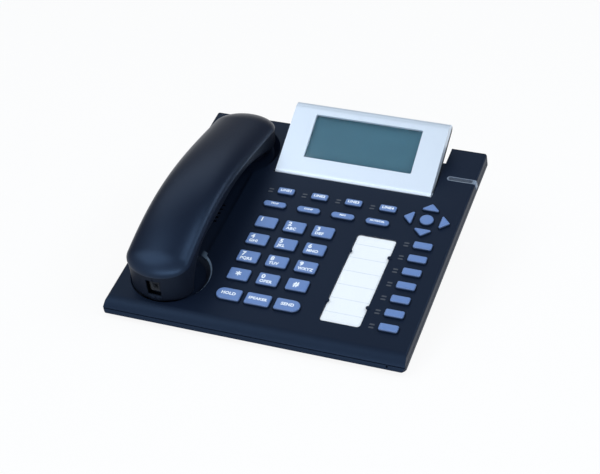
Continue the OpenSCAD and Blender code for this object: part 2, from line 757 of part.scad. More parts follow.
// A thin shell between two surfaces, each a list of rings
module shell(outer, inner) {
    n = len(outer);
    k = len(outer[0]);
    m = n * k;
    quads = [for (i = [0:n - 2], j = [0:k - 2]) let (a = i * k + j) [a, a + 1, a + k + 1, a + k]];
    ends = [[for (j = [k - 1:-1:0]) j], [for (j = [0:k - 1]) (n - 1) * k + j]];
    skin = concat([for (q = quads) each [[q[0], q[1], q[2]], [q[0], q[2], q[3]]]], ends);
    side = [for (i = [0:n - 2], e = [0, 1]) let (a = i * k + e * (k - 1), b = a + k)
        each (e == 0 ? [[a, b, b + m], [a, b + m, a + m]] : [[b, a, a + m], [b, a + m, b + m]])];
    rims = concat(side, [[k - 1, 0, m], [k - 1, m, m + k - 1],
        [m - k, m - 1, 2 * m - 1], [m - k, 2 * m - 1, 2 * m - k]]);
    faces = concat(skin, [for (f = skin) [for (j = [len(f) - 1:-1:0]) f[j] + m]], rims);
    polyhedron(concat([for (r = outer) each r], [for (r = inner) each r]),
        faces, convexity = 6);
}

module cup(y, r, z0, z1) translate([handset_x, y, z0]) cylinder(z1 - z0, r - 1.5, r);

module handset_outer_shell() color("slategray") on_deck()
    shell([for (s = stations(0)) crown_ring(s, 0)], [for (s = stations(shell_t)) crown_ring(s, shell_t)]);

module handset_inner_shell() color("slategray") on_deck() difference() {
    union() {
        shell([for (s = stations(shell_step)) grip_ring(s, shell_step)],
            [for (s = stations(shell_step + shell_t)) grip_ring(s, shell_step + shell_t)]);
        cup(near_cup, cup_r, cup_z, near_top);
        cup(far_cup, cup_r, cup_z, far_top);
    }
    cup(near_cup, cup_r - shell_t, cup_z + shell_t, near_top + eps);
    cup(far_cup, cup_r - shell_t, cup_z + shell_t, far_top + eps);
    // mouth of the cord socket, with room behind it for the jack
    translate([handset_x - 0.5, handset_y, jack_z]) cube([jack_w, 28, jack_h], center = true);
    for (a = [0:60:300]) translate([handset_x + 7 * cos(a), far_cup + 7 * sin(a), -tall / 2])
        cylinder(tall / 2, r = 1);
    for (x = [-1, 1]) translate([handset_x + 2 * x, near_cup, -tall / 2]) cylinder(tall / 2, r = 0.8);
}

module handset_cord_jack() color("dimgray") on_deck()
    translate([handset_x - 0.5, handset_y + jack_in, jack_z]) difference() {
        translate([fit - jack_w / 2, 0, fit - jack_h / 2]) cube([jack_w - 2 * fit, 12, jack_h - 2 * fit]);
        translate([-2.5, -1, -0.5]) cube([7, 9, 6.2]);
    }

module ear_capsule() color("gray") on_deck() translate([handset_x, far_cup, cup_z + shell_t]) {
    cylinder(shell_t + 2, r = ear_r);
    cylinder(shell_t + 4, r = ear_r - 5);
}

module mic_capsule() color("gray") on_deck() translate([handset_x, near_cup, cup_z + shell_t]) {
    cylinder(shell_t + 1, r = mic_r);
    translate([0, 0, shell_t + 1]) cylinder(1, r = mic_r - 1.4);
}

// ---- Cradle, card and lights ----

module hook_plunger() color("slategray") on_deck() {
    slab(-hook_z, -well_d) translate([handset_x, hook_y]) rounded(hook_w, hook_l, 0.8);
    slab(hook_foot - hook_z, hook_foot - hook_z + hook_flange) translate([handset_x, hook_y])
        rounded(hook_w + 3, hook_l + 3, 1.5);
}

module label_card() color("ivory") on_deck() slab(0.02 - card_z, 0.02 - card_z + card_t)
    translate([card_x, card_y + card_l / 2]) rounded(card_w - 0.6, card_l - 0.6, 2.2);

module label_cover() color("white") on_deck() slab(-card_z + card_t + 0.04, -0.06)
    translate([card_x, card_y + card_l / 2]) rounded(card_w - 0.3, card_l - 0.3, 2.35);

module message_lamp() color("lavender") on_deck() difference() {
    intersection() {
        body_form(-seat, -seam_h, 1);
        slab(-seam_h - 1, 2) lamp_plan(0);
    }
    body_form(wall, -seam_h - 1, 0);
}

module status_lights() color("lavender") on_deck() {
    slab(-flange_z - 0.8, -flange_z) light_plan(0.5);
    slab(-flange_z, 0.15) light_plan(0);
}

// ---- Electronics ----

module main_board() color("seagreen") on_deck() {
    // keypad board with its processor and the front microphone
    slab(-board_z - board_t, -board_z) translate([board_x0, board_y0])
        square([board_x1 - board_x0, board_y1 - board_y0]);
    slab(-board_z - board_t - 1.2, -board_z - board_t) translate([0, keypad_y - key_pitch_y]) square([20, 20]);
    // port board with its tongue, and the header between the boards
    slab(-port_z - board_t, -port_z) {
        translate([-port_half, port_y0]) square([2 * port_half, port_l]);
        translate([header_x - 12, board_y1 - 12]) square([24, port_y0 - board_y1 + 13]);
    }
    slab(-port_z, -board_z - board_t) translate([header_x - 9, board_y1 - 9]) square([18, 5]);
    slab(-port_z, -port_z + 1.4) translate([0, port_y0 + 2]) square([9, 9]);
    // hook switch
    slab(-port_z, -hook_z - seat) translate([handset_x, hook_y]) square([12.8, 5.8], center = true);
}

module key_mat() color("lightgray") on_deck() {
    slab(-board_z, -board_z + mat_t) translate([board_x0 + 1, board_y0 + 1])
        square([board_x1 - board_x0 - 2, board_y1 - board_y0 - 2]);
    for (k = KEYS) translate([k[2], k[3], -board_z + mat_t])
        cylinder(board_z - mat_t - dome_z, dome_r, dome_r - 0.6);
}

module loudspeaker() color("dimgray") on_deck() translate([handset_x, trough_mid, -trough_d - wall - fit]) {
    translate([0, 0, -wall - 0.3]) cylinder(wall + 0.3, r = speaker_r);
    translate([0, 0, -wall - 5.3]) cylinder(5, magnet_r, speaker_r * 0.9);
    translate([0, 0, -wall - 9.8]) cylinder(4.5, r = magnet_r);
}

// A socket on the port board with its opening in the back wall; a notch for the plug's latch
module socket(x, w, h, l, hole_w, hole_h, hole_l) translate([x, belly_end - l, -port_z]) difference() {
    translate([-w / 2, 0, 0]) cube([w, l, h]);
    translate([-hole_w / 2, l - hole_l, 1.6]) cube([hole_w, hole_l + 1, hole_h]);
    translate([-hole_w / 5, l - hole_l, 1.6]) cube([hole_w / 2.5, hole_l + 1, hole_h + 1.1]);
}

module network_jacks() color("silver") on_deck()
    for (x = network_x) socket(x, rj45_w, socket_h, network_l, 11.8, 7.2, 11);

module cord_jacks() color("dimgray") on_deck()
    for (x = cord_x) socket(x, rj9_w, socket_h, cord_l, 7.8, 6.4, 9);

module power_jack() color("dimgray") on_deck() translate([power_x, belly_end - power_l, -port_z])
    difference() {
        translate([-power_w / 2, 0, 0]) cube([power_w, power_l, socket_h]);
        translate([0, power_l - 9, socket_h / 2]) rotate([-90, 0, 0]) difference() {
            cylinder(10, r = 3);
            translate([0, 0, -1]) cylinder(9, r = 0.9);
        }
    }

// ---- Drawing ----

for (k = KEYS) key(k);
top_shell();
bottom_shell();
desk_stand();
rubber_feet();
display_bezel();
display_back_cover();
lcd_window();
lcd_module();
handset_outer_shell();
handset_inner_shell();
handset_cord_jack();
ear_capsule();
mic_capsule();
hook_plunger();
label_card();
label_cover();
message_lamp();
status_lights();
main_board();
key_mat();
loudspeaker();
network_jacks();
cord_jacks();
power_jack();
housing_screws();
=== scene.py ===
# %% [markdown]
# # A desk telephone, dressed
#
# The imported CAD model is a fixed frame: every node is already in its place, in metres, on the body
# it moves with. This file is read from top to bottom like a notebook. It gives the CAD nodes their
# finishes, makes finer surfaces for the pieces whose curves carry the look (the key caps and their
# legends, the handset and its socket, the lines of the card), and lights the whole on a pale floor.

# %% Load the frame
import math

import bmesh
import bpy
import numpy as np
from mathutils import Matrix, Vector


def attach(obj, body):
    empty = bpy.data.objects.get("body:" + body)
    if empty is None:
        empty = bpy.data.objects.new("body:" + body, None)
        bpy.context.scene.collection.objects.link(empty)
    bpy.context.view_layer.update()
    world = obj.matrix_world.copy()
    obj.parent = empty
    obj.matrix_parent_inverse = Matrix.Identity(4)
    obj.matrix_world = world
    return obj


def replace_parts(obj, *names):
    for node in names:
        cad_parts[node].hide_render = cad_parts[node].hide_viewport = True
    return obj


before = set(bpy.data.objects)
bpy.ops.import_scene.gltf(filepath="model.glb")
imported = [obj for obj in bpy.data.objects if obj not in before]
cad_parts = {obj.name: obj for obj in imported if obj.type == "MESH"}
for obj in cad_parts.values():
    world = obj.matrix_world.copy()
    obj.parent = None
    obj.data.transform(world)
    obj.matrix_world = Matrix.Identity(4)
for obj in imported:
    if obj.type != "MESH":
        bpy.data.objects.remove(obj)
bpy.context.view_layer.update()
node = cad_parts

# %% [markdown]
# ## The camera
#
# A long lens looks down at the telephone from the front right. The eye stands 1.1 metres away,
# 20 degrees off the front and 29 degrees up, and the picture's centre is the lens's axis, so no
# shift is needed. The rotation is written as three axes: the camera's right, its up and its back.

# %% Place the camera
EYE = np.array([0.32935, -0.90977, 0.57386])
FORWARD = np.array([-0.2982, 0.8184, -0.4912])
LENS_MM = 91.2


def camera_axes(forward):
    """Back = -forward, right = world up x back, camera up = back x right: a camera with no roll."""
    back = -forward / np.linalg.norm(forward)
    right = np.cross([0.0, 0.0, 1.0], back)
    right /= np.linalg.norm(right)
    return np.column_stack([right, np.cross(back, right), back])


lens = bpy.data.cameras.new("camera")
lens.lens = LENS_MM
lens.clip_start, lens.clip_end = 0.05, 50
camera = bpy.data.objects.new("camera", lens)
placing = np.eye(4)
placing[:3, :3] = camera_axes(FORWARD)
placing[:3, 3] = EYE
camera.matrix_world = Matrix(placing.tolist())
bpy.context.scene.collection.objects.link(camera)
bpy.context.scene.camera = camera
print("camera distance", round(float(np.linalg.norm(EYE)), 3), "m")

# %% [markdown]
# ## The deck's own frame
#
# Everything on the telephone is laid out on its sloping key deck, so the shapes are worked out in
# millimetres on the deck (x across, y up the slope, z out of it) and turned into the frame's metres
# in one step. The slope and the place of the deck's front edge are those of the CAD model.

# %% Deck millimetres to frame metres
SLOPE = math.radians(14.2)
DECK_Y, DECK_Z = -110.704, 11.0


def on_deck(points):
    """Turns (n, 3) deck millimetres by the slope about x, moves them and scales them to metres."""
    p = np.asarray(points, float)
    c, s = math.cos(SLOPE), math.sin(SLOPE)
    turned = np.stack([p[..., 0], p[..., 1] * c - p[..., 2] * s, p[..., 1] * s + p[..., 2] * c], -1)
    return (turned + [0.0, DECK_Y, DECK_Z]) / 1000.0


print("200 mm up the deck is at", on_deck([0, 200, 0]).round(3), "m")

# %% [markdown]
# ## From arrays to meshes
#
# A surface is a stack of rings: the rows of a profile carried along a path, or the outlines of a
# key one over the other. One helper joins neighbouring rings with quads, another closes such a
# stack with one flat face at each end, and both hand the numbers to Blender with `foreach_set`,
# with no loop over vertices. Plain boxes share one list of faces.

# %% Mesh helpers
BOX_FACES = np.array([[3, 2, 1, 0], [4, 5, 6, 7], [0, 1, 5, 4],
                      [1, 2, 6, 5], [2, 3, 7, 6], [3, 0, 4, 7]])


def new_mesh(name, points, loops, sizes, body, slot, material, smooth=40):
    """Builds one object from flat arrays: points (n, 3) in metres, corner indices, face sizes."""
    mesh = bpy.data.meshes.new(name)
    mesh.vertices.add(len(points))
    mesh.vertices.foreach_set("co", np.asarray(points, np.float32).ravel())
    mesh.loops.add(len(loops))
    mesh.loops.foreach_set("vertex_index", np.asarray(loops, np.int32))
    starts = np.concatenate([[0], np.cumsum(sizes)[:-1]])
    mesh.polygons.add(len(sizes))
    mesh.polygons.foreach_set("loop_start", np.asarray(starts, np.int32))
    mesh.update(calc_edges=True)
    mesh.validate()
    mesh.materials.append(material)
    obj = bpy.data.objects.new(name, mesh)
    bpy.context.scene.collection.objects.link(obj)
    mesh.shade_smooth()
    mesh.set_sharp_from_angle(angle=math.radians(smooth))
    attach(obj, body)
    return obj


def ring_faces(rings, around):
    """Quads between neighbouring rings, counted ring by ring; the last point joins the first."""
    i, j = np.meshgrid(np.arange(rings - 1), np.arange(around), indexing="ij")
    k = (j + 1) % around
    corners = [i * around + j, i * around + k, (i + 1) * around + k, (i + 1) * around + j]
    return np.stack(corners, -1).reshape(-1, 4)


def stack_mesh(name, rings, **where):
    """Closed solid from closed rings (k, n, 3): walls of quads, a flat face at each end."""
    k, n = rings.shape[:2]
    quads = ring_faces(k, n)
    ends = np.concatenate([np.arange(n)[::-1], (k - 1) * n + np.arange(n)])
    loops = np.concatenate([quads.ravel(), ends])
    sizes = np.concatenate([np.full(len(quads), 4), [n, n]])
    return new_mesh(name, rings.reshape(-1, 3), loops, sizes, **where)


def box_loops(count):
    """Corners of the faces of several boxes, the eight points of each box after the last one's."""
    return (BOX_FACES[None] + 8 * np.arange(count)[:, None, None]).reshape(-1)


# %% [markdown]
# ## Small steps for materials
#
# Every finish below is a node material. The same few steps come back in all of them: noise on
# Object coordinates, a value stretched from one range to another, two colours mixed by a value.
# Each is a helper that takes sockets and returns a socket, so a finish reads as a short recipe.

# %% Material helpers
def material(name):
    """A new node material: itself, its nodes, its links and its Principled shader."""
    m = bpy.data.materials.new(name)
    m.use_nodes = True
    return m, m.node_tree.nodes, m.node_tree.links, m.node_tree.nodes["Principled BSDF"]


def object_coords(nodes):
    """Object coordinates: each piece's object is at the origin, so these are frame metres."""
    return nodes.new("ShaderNodeTexCoord").outputs["Object"]


def noise(nodes, links, coords, scale, detail=2.0):
    """Noise of that many cells a metre."""
    n = nodes.new("ShaderNodeTexNoise")
    n.inputs["Scale"].default_value = scale
    n.inputs["Detail"].default_value = detail
    links.new(coords, n.inputs["Vector"])
    return n.outputs["Fac"]


def remap(nodes, links, value, low, high, start=0.3, stop=0.7):
    """Maps a value between start and stop to low and high; most noise lies from 0.3 to 0.7."""
    r = nodes.new("ShaderNodeMapRange")
    for key, number in (("From Min", start), ("From Max", stop), ("To Min", low), ("To Max", high)):
        r.inputs[key].default_value = number
    links.new(value, r.inputs["Value"])
    return r.outputs["Result"]


def maths(nodes, links, operation, first, second=0.0):
    """One Math node on two values, each a socket or a plain number."""
    step = nodes.new("ShaderNodeMath")
    step.operation = operation
    for socket, value in zip(step.inputs, (first, second)):
        if isinstance(value, (int, float)):
            socket.default_value = value
        else:
            links.new(value, socket)
    return step.outputs[0]


def any_of(nodes, links, *values):
    """The greatest of several values, two at a time."""
    best = values[0]
    for value in values[1:]:
        best = maths(nodes, links, "MAXIMUM", best, value)
    return best


def mixed(nodes, links, value, first, second):
    """A colour between two by a value; the first may be a socket."""
    mix = nodes.new("ShaderNodeMix")
    mix.data_type = "RGBA"
    if isinstance(first, tuple):
        mix.inputs["A"].default_value = (*first, 1.0)
    else:
        links.new(first, mix.inputs["A"])
    mix.inputs["B"].default_value = (*second, 1.0)
    links.new(value, mix.inputs["Factor"])
    return mix.outputs["Result"]


def two_tone(nodes, links, value, dark, light, shader):
    """Mixes two colours by a value into the base colour."""
    links.new(mixed(nodes, links, value, dark, light), shader.inputs["Base Color"])


def bump(nodes, links, height, strength, distance, shader):
    """Dents the surface by a height: its strength as a share, its depth in metres."""
    b = nodes.new("ShaderNodeBump")
    b.inputs["Strength"].default_value = strength
    b.inputs["Distance"].default_value = distance
    links.new(height, b.inputs["Height"])
    links.new(b.outputs["Normal"], shader.inputs["Normal"])


def dress(finish, *names):
    """Gives CAD nodes a finish in all their slots."""
    for name in names:
        mesh = node[name].data
        if not mesh.materials:
            mesh.materials.append(finish)
        for i in range(len(mesh.materials)):
            mesh.materials[i] = finish
    print(f"{finish.name}: {', '.join(names)}")


# %% [markdown]
# ## Moulded plastic
#
# The housing is dark blue plastic from a mould with a fine spark-eroded texture: not glossy, but at
# a low angle it still mirrors the pale room, and its shine keeps some of the blue. The texture is a
# bump of very fine noise, the colour wanders a little, and the roughness wanders with it, so no
# surface is one flat colour. The handset is a little smoother and darker than the housing.

# %% Plastics of the outside
BLUE_SHEEN = (0.36, 0.60, 1.0)


def moulded_plastic(name, dark, light, rough, grain=900.0, depth=0.00004, specular=0.5,
                    sheen=(1, 1, 1)):
    """Slow colour drift, a fine bump, roughness within 0.03 of rough, and a tinted shine."""
    m, nodes, links, shader = material(name)
    where = object_coords(nodes)
    two_tone(nodes, links, noise(nodes, links, where, 22.0, 3.0), dark, light, shader)
    fine = noise(nodes, links, where, grain)
    links.new(remap(nodes, links, fine, rough - 0.03, rough + 0.03), shader.inputs["Roughness"])
    bump(nodes, links, fine, 0.35, depth, shader)
    shader.inputs["Specular IOR Level"].default_value = specular
    shader.inputs["Specular Tint"].default_value = (*sheen, 1)
    return m


housing_blue = moulded_plastic("housing_blue", (0.0040, 0.0074, 0.0180), (0.0050, 0.0090, 0.0212),
                               0.44, specular=0.27, sheen=BLUE_SHEEN)
handset_blue = moulded_plastic("handset_blue", (0.0030, 0.0054, 0.0145), (0.0038, 0.0066, 0.0170),
                               0.35, 1100.0, specular=0.42, sheen=BLUE_SHEEN)
underside_black = moulded_plastic("underside_black", (0.0055, 0.0078, 0.0145),
                                  (0.007, 0.0095, 0.0175), 0.5, specular=0.15, sheen=BLUE_SHEEN)
rubber_black = moulded_plastic("rubber_black", (0.008, 0.008, 0.009), (0.014, 0.014, 0.015), 0.8,
                               700.0)
jack_grey = moulded_plastic("jack_grey", (0.014, 0.016, 0.021), (0.020, 0.023, 0.029), 0.5,
                            specular=0.15)
dress(housing_blue, "top_shell", "bottom_shell", "hook_plunger")
dress(underside_black, "desk_stand", "display_back_cover")
dress(rubber_black, "rubber_feet")
dress(jack_grey, "cord_jacks", "power_jack", "ear_capsule", "mic_capsule", "handset_cord_jack")

# %% [markdown]
# ## Hidden parts
#
# The boards, the silicone mat, the loudspeaker and the screws are out of sight but still part of
# the telephone, so they get their own plain finishes: green solder mask with a faint grain, milky
# silicone, black paper cone, zinc and nickel.

# %% Finishes of the inner parts
STREAKS = 1600.0


def metal(name, colour, rough):
    """Metal with a fine brushed streak: noise stretched along x changes colour and roughness."""
    m, nodes, links, shader = material(name)
    stretch = nodes.new("ShaderNodeMapping")
    stretch.inputs["Scale"].default_value = (0.05, 1.0, 1.0)
    links.new(object_coords(nodes), stretch.inputs["Vector"])
    streak = noise(nodes, links, stretch.outputs["Vector"], STREAKS)
    two_tone(nodes, links, streak, tuple(0.85 * c for c in colour), colour, shader)
    links.new(remap(nodes, links, streak, rough - 0.06, rough + 0.06), shader.inputs["Roughness"])
    shader.inputs["Metallic"].default_value = 1.0
    return m


solder_mask = moulded_plastic("solder_mask", (0.012, 0.075, 0.03), (0.02, 0.1, 0.04), 0.35, 1500.0)
silicone = moulded_plastic("silicone", (0.42, 0.43, 0.45), (0.5, 0.51, 0.53), 0.6)
speaker_black = moulded_plastic("speaker_black", (0.01, 0.01, 0.011), (0.018, 0.018, 0.02), 0.6)
dress(metal("zinc", (0.55, 0.55, 0.56), 0.35), "housing_screws")
dress(metal("nickel", (0.62, 0.6, 0.57), 0.28), "network_jacks")
dress(solder_mask, "main_board")
dress(silicone, "key_mat")
dress(speaker_black, "loudspeaker")

# %% [markdown]
# ## Key caps
#
# A key cap is a short tube with a rounded plan and a softly domed top. Each plan is described by a
# few corner discs and the arc of each one that shows; shrinking every disc's radius sets the whole
# outline in, and a stack of such outlines, from the skirt over the rounded edge to the middle of
# the top, is the cap. One function makes all 35.

# %% Outlines of the keys
CORNER, ARROW_CORNER = 1.6, 1.1
ARC_STEP = 9


def arc_discs(discs):
    """Joins arcs of discs (x, y, radius, first angle, last angle) into rows of centre, radius and
    angle, a point every 9 degrees."""
    rows = []
    for x, y, r, a, b in discs:
        n = int((b - a) / ARC_STEP) + 1
        disc = np.tile([x, y, r], (n, 1))
        rows.append(np.column_stack([disc, np.linspace(a, b, n)]))
    return np.concatenate(rows)


def arrow_discs(turn, w, l):
    """Three discs of a triangle that points right, turned by an angle in degrees."""
    r = ARROW_CORNER
    lean = math.degrees(math.atan2(l - 2 * r, w / 2 - r))
    corners = [(l / 2 - r, 0.0, -lean, lean), (r - l / 2, w / 2 - r, lean, 180),
               (r - l / 2, r - w / 2, 180, 360 - lean)]
    c, s = math.cos(math.radians(turn)), math.sin(math.radians(turn))
    return [(px * c - py * s, px * s + py * c, r, a + turn, b + turn) for px, py, a, b in corners]


def key_discs(kind, w, l):
    """The corner discs of a key's plan, counter-clockwise; an arrow's kind is its angle."""
    r, x, y = CORNER, w / 2 - CORNER, l / 2 - CORNER
    square = [(x, y, r, 0, 90), (-x, y, r, 90, 180), (-x, -y, r, 180, 270), (x, -y, r, 270, 360)]
    round_right = (w / 2 - l / 2, 0, l / 2, -90, 90)
    round_left = (l / 2 - w / 2, 0, l / 2, 90, 270)
    plans = {"rect": square, "pill": [round_right, round_left], "round": [(0, 0, w / 2, 0, 351)],
             "left": [square[0], round_left, square[3]], "right": [round_right, *square[1:3]]}
    return plans[kind] if kind in plans else arrow_discs(kind, w, l)


def key_outline(kind, w, l, inset=0.0, shrink=1.0):
    """A point on each corner disc at its radius less the inset, then all drawn to the middle."""
    d = arc_discs(key_discs(kind, w, l))
    a = np.radians(d[:, 3])
    return shrink * (d[:, :2] + (d[:, 2] - inset)[:, None] * np.stack([np.cos(a), np.sin(a)], -1))


# %% Where each key is
DIGITS = ["1", "2", "3", "4", "5", "6", "7", "8", "9", "star", "0", "hash"]
DIAL_X, DIAL_Y, DIAL_STEP, DIAL_ROW = -25.8, 108.2, 21.85, 18.64
CALL_Y = 32  # the call keys share the dial keys' columns
LINE_X, LINE_Y, FUNCTION_X, FUNCTION_Y, LINE_STEP = -23.4, 144, -26.7, 128.3, 26.4
SPEED_X, SPEED_Y, SPEED_ROW = 91.2, 112, 13.78  # beside the card
PAD_X, PAD_Y, PAD_REACH = 86.4, 139, 13.6  # round key in the middle, four arrows round it
DIAL_CAP, CALL_CAP, LINE_CAP, FUNCTION_CAP = (16, 11.4), (18.6, 11), (13, 6.4), (18, 5.8)
SPEED_CAP, SELECT_CAP, ARROW_CAP = (14, 6.8), (10.6, 10.6), (12.4, 7.2)


def key_row(names, kind, x, y, size, across=0.0, down=0.0):
    """Kind, place and size of the keys of a row: each is one more step across or down."""
    return {f"key_{name}": (kind, x + across * i, y - down * i, *size)
            for i, name in enumerate(names)}


KEYS = {}
for row in range(4):
    KEYS |= key_row(DIGITS[3 * row:3 * row + 3], "rect", DIAL_X, DIAL_Y - DIAL_ROW * row, DIAL_CAP,
                    across=DIAL_STEP)
for i, (name, kind) in enumerate((("hold", "left"), ("speaker", "rect"), ("send", "right"))):
    KEYS |= key_row([name], kind, DIAL_X + DIAL_STEP * i, CALL_Y, CALL_CAP)
KEYS |= key_row([f"line_{i}" for i in range(1, 5)], "rect", LINE_X, LINE_Y, LINE_CAP,
                across=LINE_STEP)
KEYS |= key_row([f"function_{i}" for i in range(1, 5)], "pill", FUNCTION_X, FUNCTION_Y,
                FUNCTION_CAP, across=LINE_STEP)
KEYS |= key_row([f"speed_{i}" for i in range(1, 8)], "rect", SPEED_X, SPEED_Y, SPEED_CAP,
                down=SPEED_ROW)
KEYS |= key_row(["select"], "round", PAD_X, PAD_Y, SELECT_CAP)
for name, turn in (("right", 0), ("up", 90), ("left", 180), ("down", 270)):
    a = math.radians(turn)
    KEYS |= key_row([name], turn, PAD_X + PAD_REACH * math.cos(a), PAD_Y + PAD_REACH * math.sin(a),
                    ARROW_CAP)
print(len(KEYS), "keys")

# %% [markdown]
# The cap's side rises straight out of the deck, leans in a little because the mould has to open,
# and rolls over into a crowned top. Each row below is one ring: its height over the deck, how far
# it is set in from the plan, and how far it has closed towards the middle.

# %% Cap rings
CAP = np.array([
    (-3.35, -0.9, 1), (-2.25, -0.9, 1), (-2.25, 0, 1), (0, 0, 1), (0.92, 0, 1), (1.35, 0.14, 1),
    (1.62, 0.24, 1), (1.84, 0.36, 1), (2.0, 0.52, 1), (2.1, 0.74, 1), (2.145, 1.0, 1),
    (2.18, 1.0, 0.93), (2.22, 1.0, 0.82), (2.255, 1.0, 0.66), (2.28, 1.0, 0.46), (2.295, 1.0, 0.24),
    (2.3, 1.0, 0.08)])
CROWN_RINGS = CAP[:9:-1]


def key_cap(kind, x, y, w, l):
    """Rings of a cap in frame metres: the plan at each ring's inset and closing, at its height."""
    rings = []
    for z, inset, shrink in CAP:
        plan = key_outline(kind, w, l, inset, shrink) + [x, y]
        rings.append(np.column_stack([plan, np.full(len(plan), z)]))
    return on_deck(np.array(rings))


print(f"{len(CAP)} rings, {CAP[-1, 0]} mm over the deck, {len(CROWN_RINGS)} of them on the crown")

# %% [markdown]
# The caps are moulded in a pale blue and stand over a dark well of their own, so little light gets
# down to their feet. The plastic lets some light in, but a touch of subsurface scattering would be
# slow and hardly seen. So shade is painted into the colour instead: it deepens from the rim to the
# foot by height over the deck. A Mapping node turns object coordinates back by the deck's slope to
# read that height.

# %% Key plastic
# Painted shade on the caps: full below the first height over the deck, gone above the second.
PAINTED_SHADE_LOW, PAINTED_SHADE_HIGH = 0.9, 2.2


def deck_place(nodes, links):
    """Place on the deck in millimetres, X, Y and Z, from object coordinates turned back."""
    turn, split = nodes.new("ShaderNodeMapping"), nodes.new("ShaderNodeSeparateXYZ")
    turn.vector_type = "POINT"
    c, s = math.cos(SLOPE), math.sin(SLOPE)
    away = (-DECK_Y * c - DECK_Z * s, DECK_Y * s - DECK_Z * c)
    turn.inputs["Rotation"].default_value = (-SLOPE, 0, 0)
    turn.inputs["Scale"].default_value = (1000, 1000, 1000)
    turn.inputs["Location"].default_value = (0, *away)
    links.new(object_coords(nodes), turn.inputs["Vector"])
    links.new(turn.outputs["Vector"], split.inputs["Vector"])
    return split.outputs


def key_plastic(name, shaded_foot, top, rough):
    """Colour from a painted shade at the foot to the top colour between two heights over the deck,
    a fine grain in bump and roughness."""
    m, nodes, links, shader = material(name)
    rise = remap(nodes, links, deck_place(nodes, links)["Z"], 0.0, 1.0, PAINTED_SHADE_LOW, PAINTED_SHADE_HIGH)
    two_tone(nodes, links, rise, shaded_foot, top, shader)
    fine = noise(nodes, links, object_coords(nodes), 1400.0)
    links.new(remap(nodes, links, fine, rough - 0.04, rough + 0.04), shader.inputs["Roughness"])
    bump(nodes, links, fine, 0.2, 0.00003, shader)
    return m


# The first colour is the painted shade at the caps' feet, the second is the caps' own blue.
key_blue = key_plastic("key_blue", (0.006, 0.014, 0.035), (0.13, 0.23, 0.49), 0.34)
caps = {}
for name, plan in KEYS.items():
    cap = stack_mesh(name + "_cap", key_cap(*plan), body=name + "_button", slot="key_cap",
                     material=key_blue)
    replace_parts(cap, name)
    caps[name] = cap
print(len(caps), "caps,", sum(len(c.data.polygons) for c in caps.values()), "faces")

# %% [markdown]
# ## A painted highlight on the rim of the well
#
# Beside the mouth end of the handset a pale crescent shows on the deck: the sloping rim of the
# round well that the mouth cup sits in, where it catches the light. The rim is part of the top
# shell, so it needs no piece of its own. That light is painted: the housing's finish is paled in a
# band of distances from the well's centre, between two depths under the deck, and only on the side
# that looks away from the handset.

# %% Paint the highlight on the rim
WELL_X, WELL_Y, WELL_EDGE = -74.1, 42.8, 27.6  # centre of the near well, start of its rim
# Colour of the painted highlight on the lit side of the well's rim.
RIM_HIGHLIGHT = (0.30, 0.42, 0.58)


def paint_rim_highlight(finish, x, y, inner, colour):
    """Mixes in a colour as a painted highlight, by past times within times the least of (under times
    right) and above: past the inner edge, within 5 mm of it, under the deck, to the right, above the
    well's floor. Each of these five fades from 0 to 1."""
    nodes, links = finish.node_tree.nodes, finish.node_tree.links
    base = nodes["Principled BSDF"].inputs["Base Color"]
    place = deck_place(nodes, links)
    flat, gap = nodes.new("ShaderNodeCombineXYZ"), nodes.new("ShaderNodeVectorMath")
    gap.operation = "DISTANCE"
    gap.inputs[1].default_value = (x, y, 0)
    links.new(place["X"], flat.inputs["X"])
    links.new(place["Y"], flat.inputs["Y"])
    links.new(flat.outputs[0], gap.inputs[0])
    past = remap(nodes, links, gap.outputs["Value"], 0.0, 1.0, inner, inner + 0.6)
    within = remap(nodes, links, gap.outputs["Value"], 1.0, 0.0, inner + 4.6, inner + 5.2)
    under = remap(nodes, links, place["Z"], 1.0, 0.0, -0.6, -0.1)
    above = remap(nodes, links, place["Z"], 0.0, 1.0, -4.6, -4.0)
    right = remap(nodes, links, place["X"], 0.0, 1.0, x + 12, x + 20)
    band = maths(nodes, links, "MULTIPLY", past, within)
    level = maths(nodes, links, "MINIMUM", maths(nodes, links, "MULTIPLY", under, right), above)
    share = maths(nodes, links, "MULTIPLY", band, level)
    links.new(mixed(nodes, links, share, base.links[0].from_socket, colour), base)


# A painted highlight on the rim of the near well, on the side that faces away from the handset.
paint_rim_highlight(housing_blue, WELL_X, WELL_Y, WELL_EDGE, RIM_HIGHLIGHT)
print("rim paled from", WELL_EDGE, "mm round the well")

# %% [markdown]
# ## Words on the keys
#
# The legends are printed: a film of pale ink a few hundredths of a millimetre thick. Blender's own
# font gives the outlines; each is made a thin solid, and every vertex is then dropped on to the
# crowned top of its key, so that the ink follows the cap. The star is the one glyph that breaks up
# when its strokes are swollen, so it is three crossed bars.

# %% Lettering
INK_THICK, INK_LIFT = 0.03, 0.035


def star_glyph(size):
    """Three crossed bars, 60 degrees apart: thin boxes 0.37 of the size long and 0.076 wide."""
    turn = np.radians([30, 90, 150])[:, None]
    a, b = 0.185 * size, 0.038 * size
    x, y = np.array([-a, a, a, -a] * 2), np.array([-b, -b, b, b] * 2)
    z = np.tile([-INK_THICK] * 4 + [INK_THICK] * 4, (3, 1))
    across, up = x * np.cos(turn) - y * np.sin(turn), x * np.sin(turn) + y * np.cos(turn)
    points = np.stack([across + a, up + 2.8 * a, z], -1)
    return points.reshape(-1, 3), box_loops(3), np.full(18, 4)


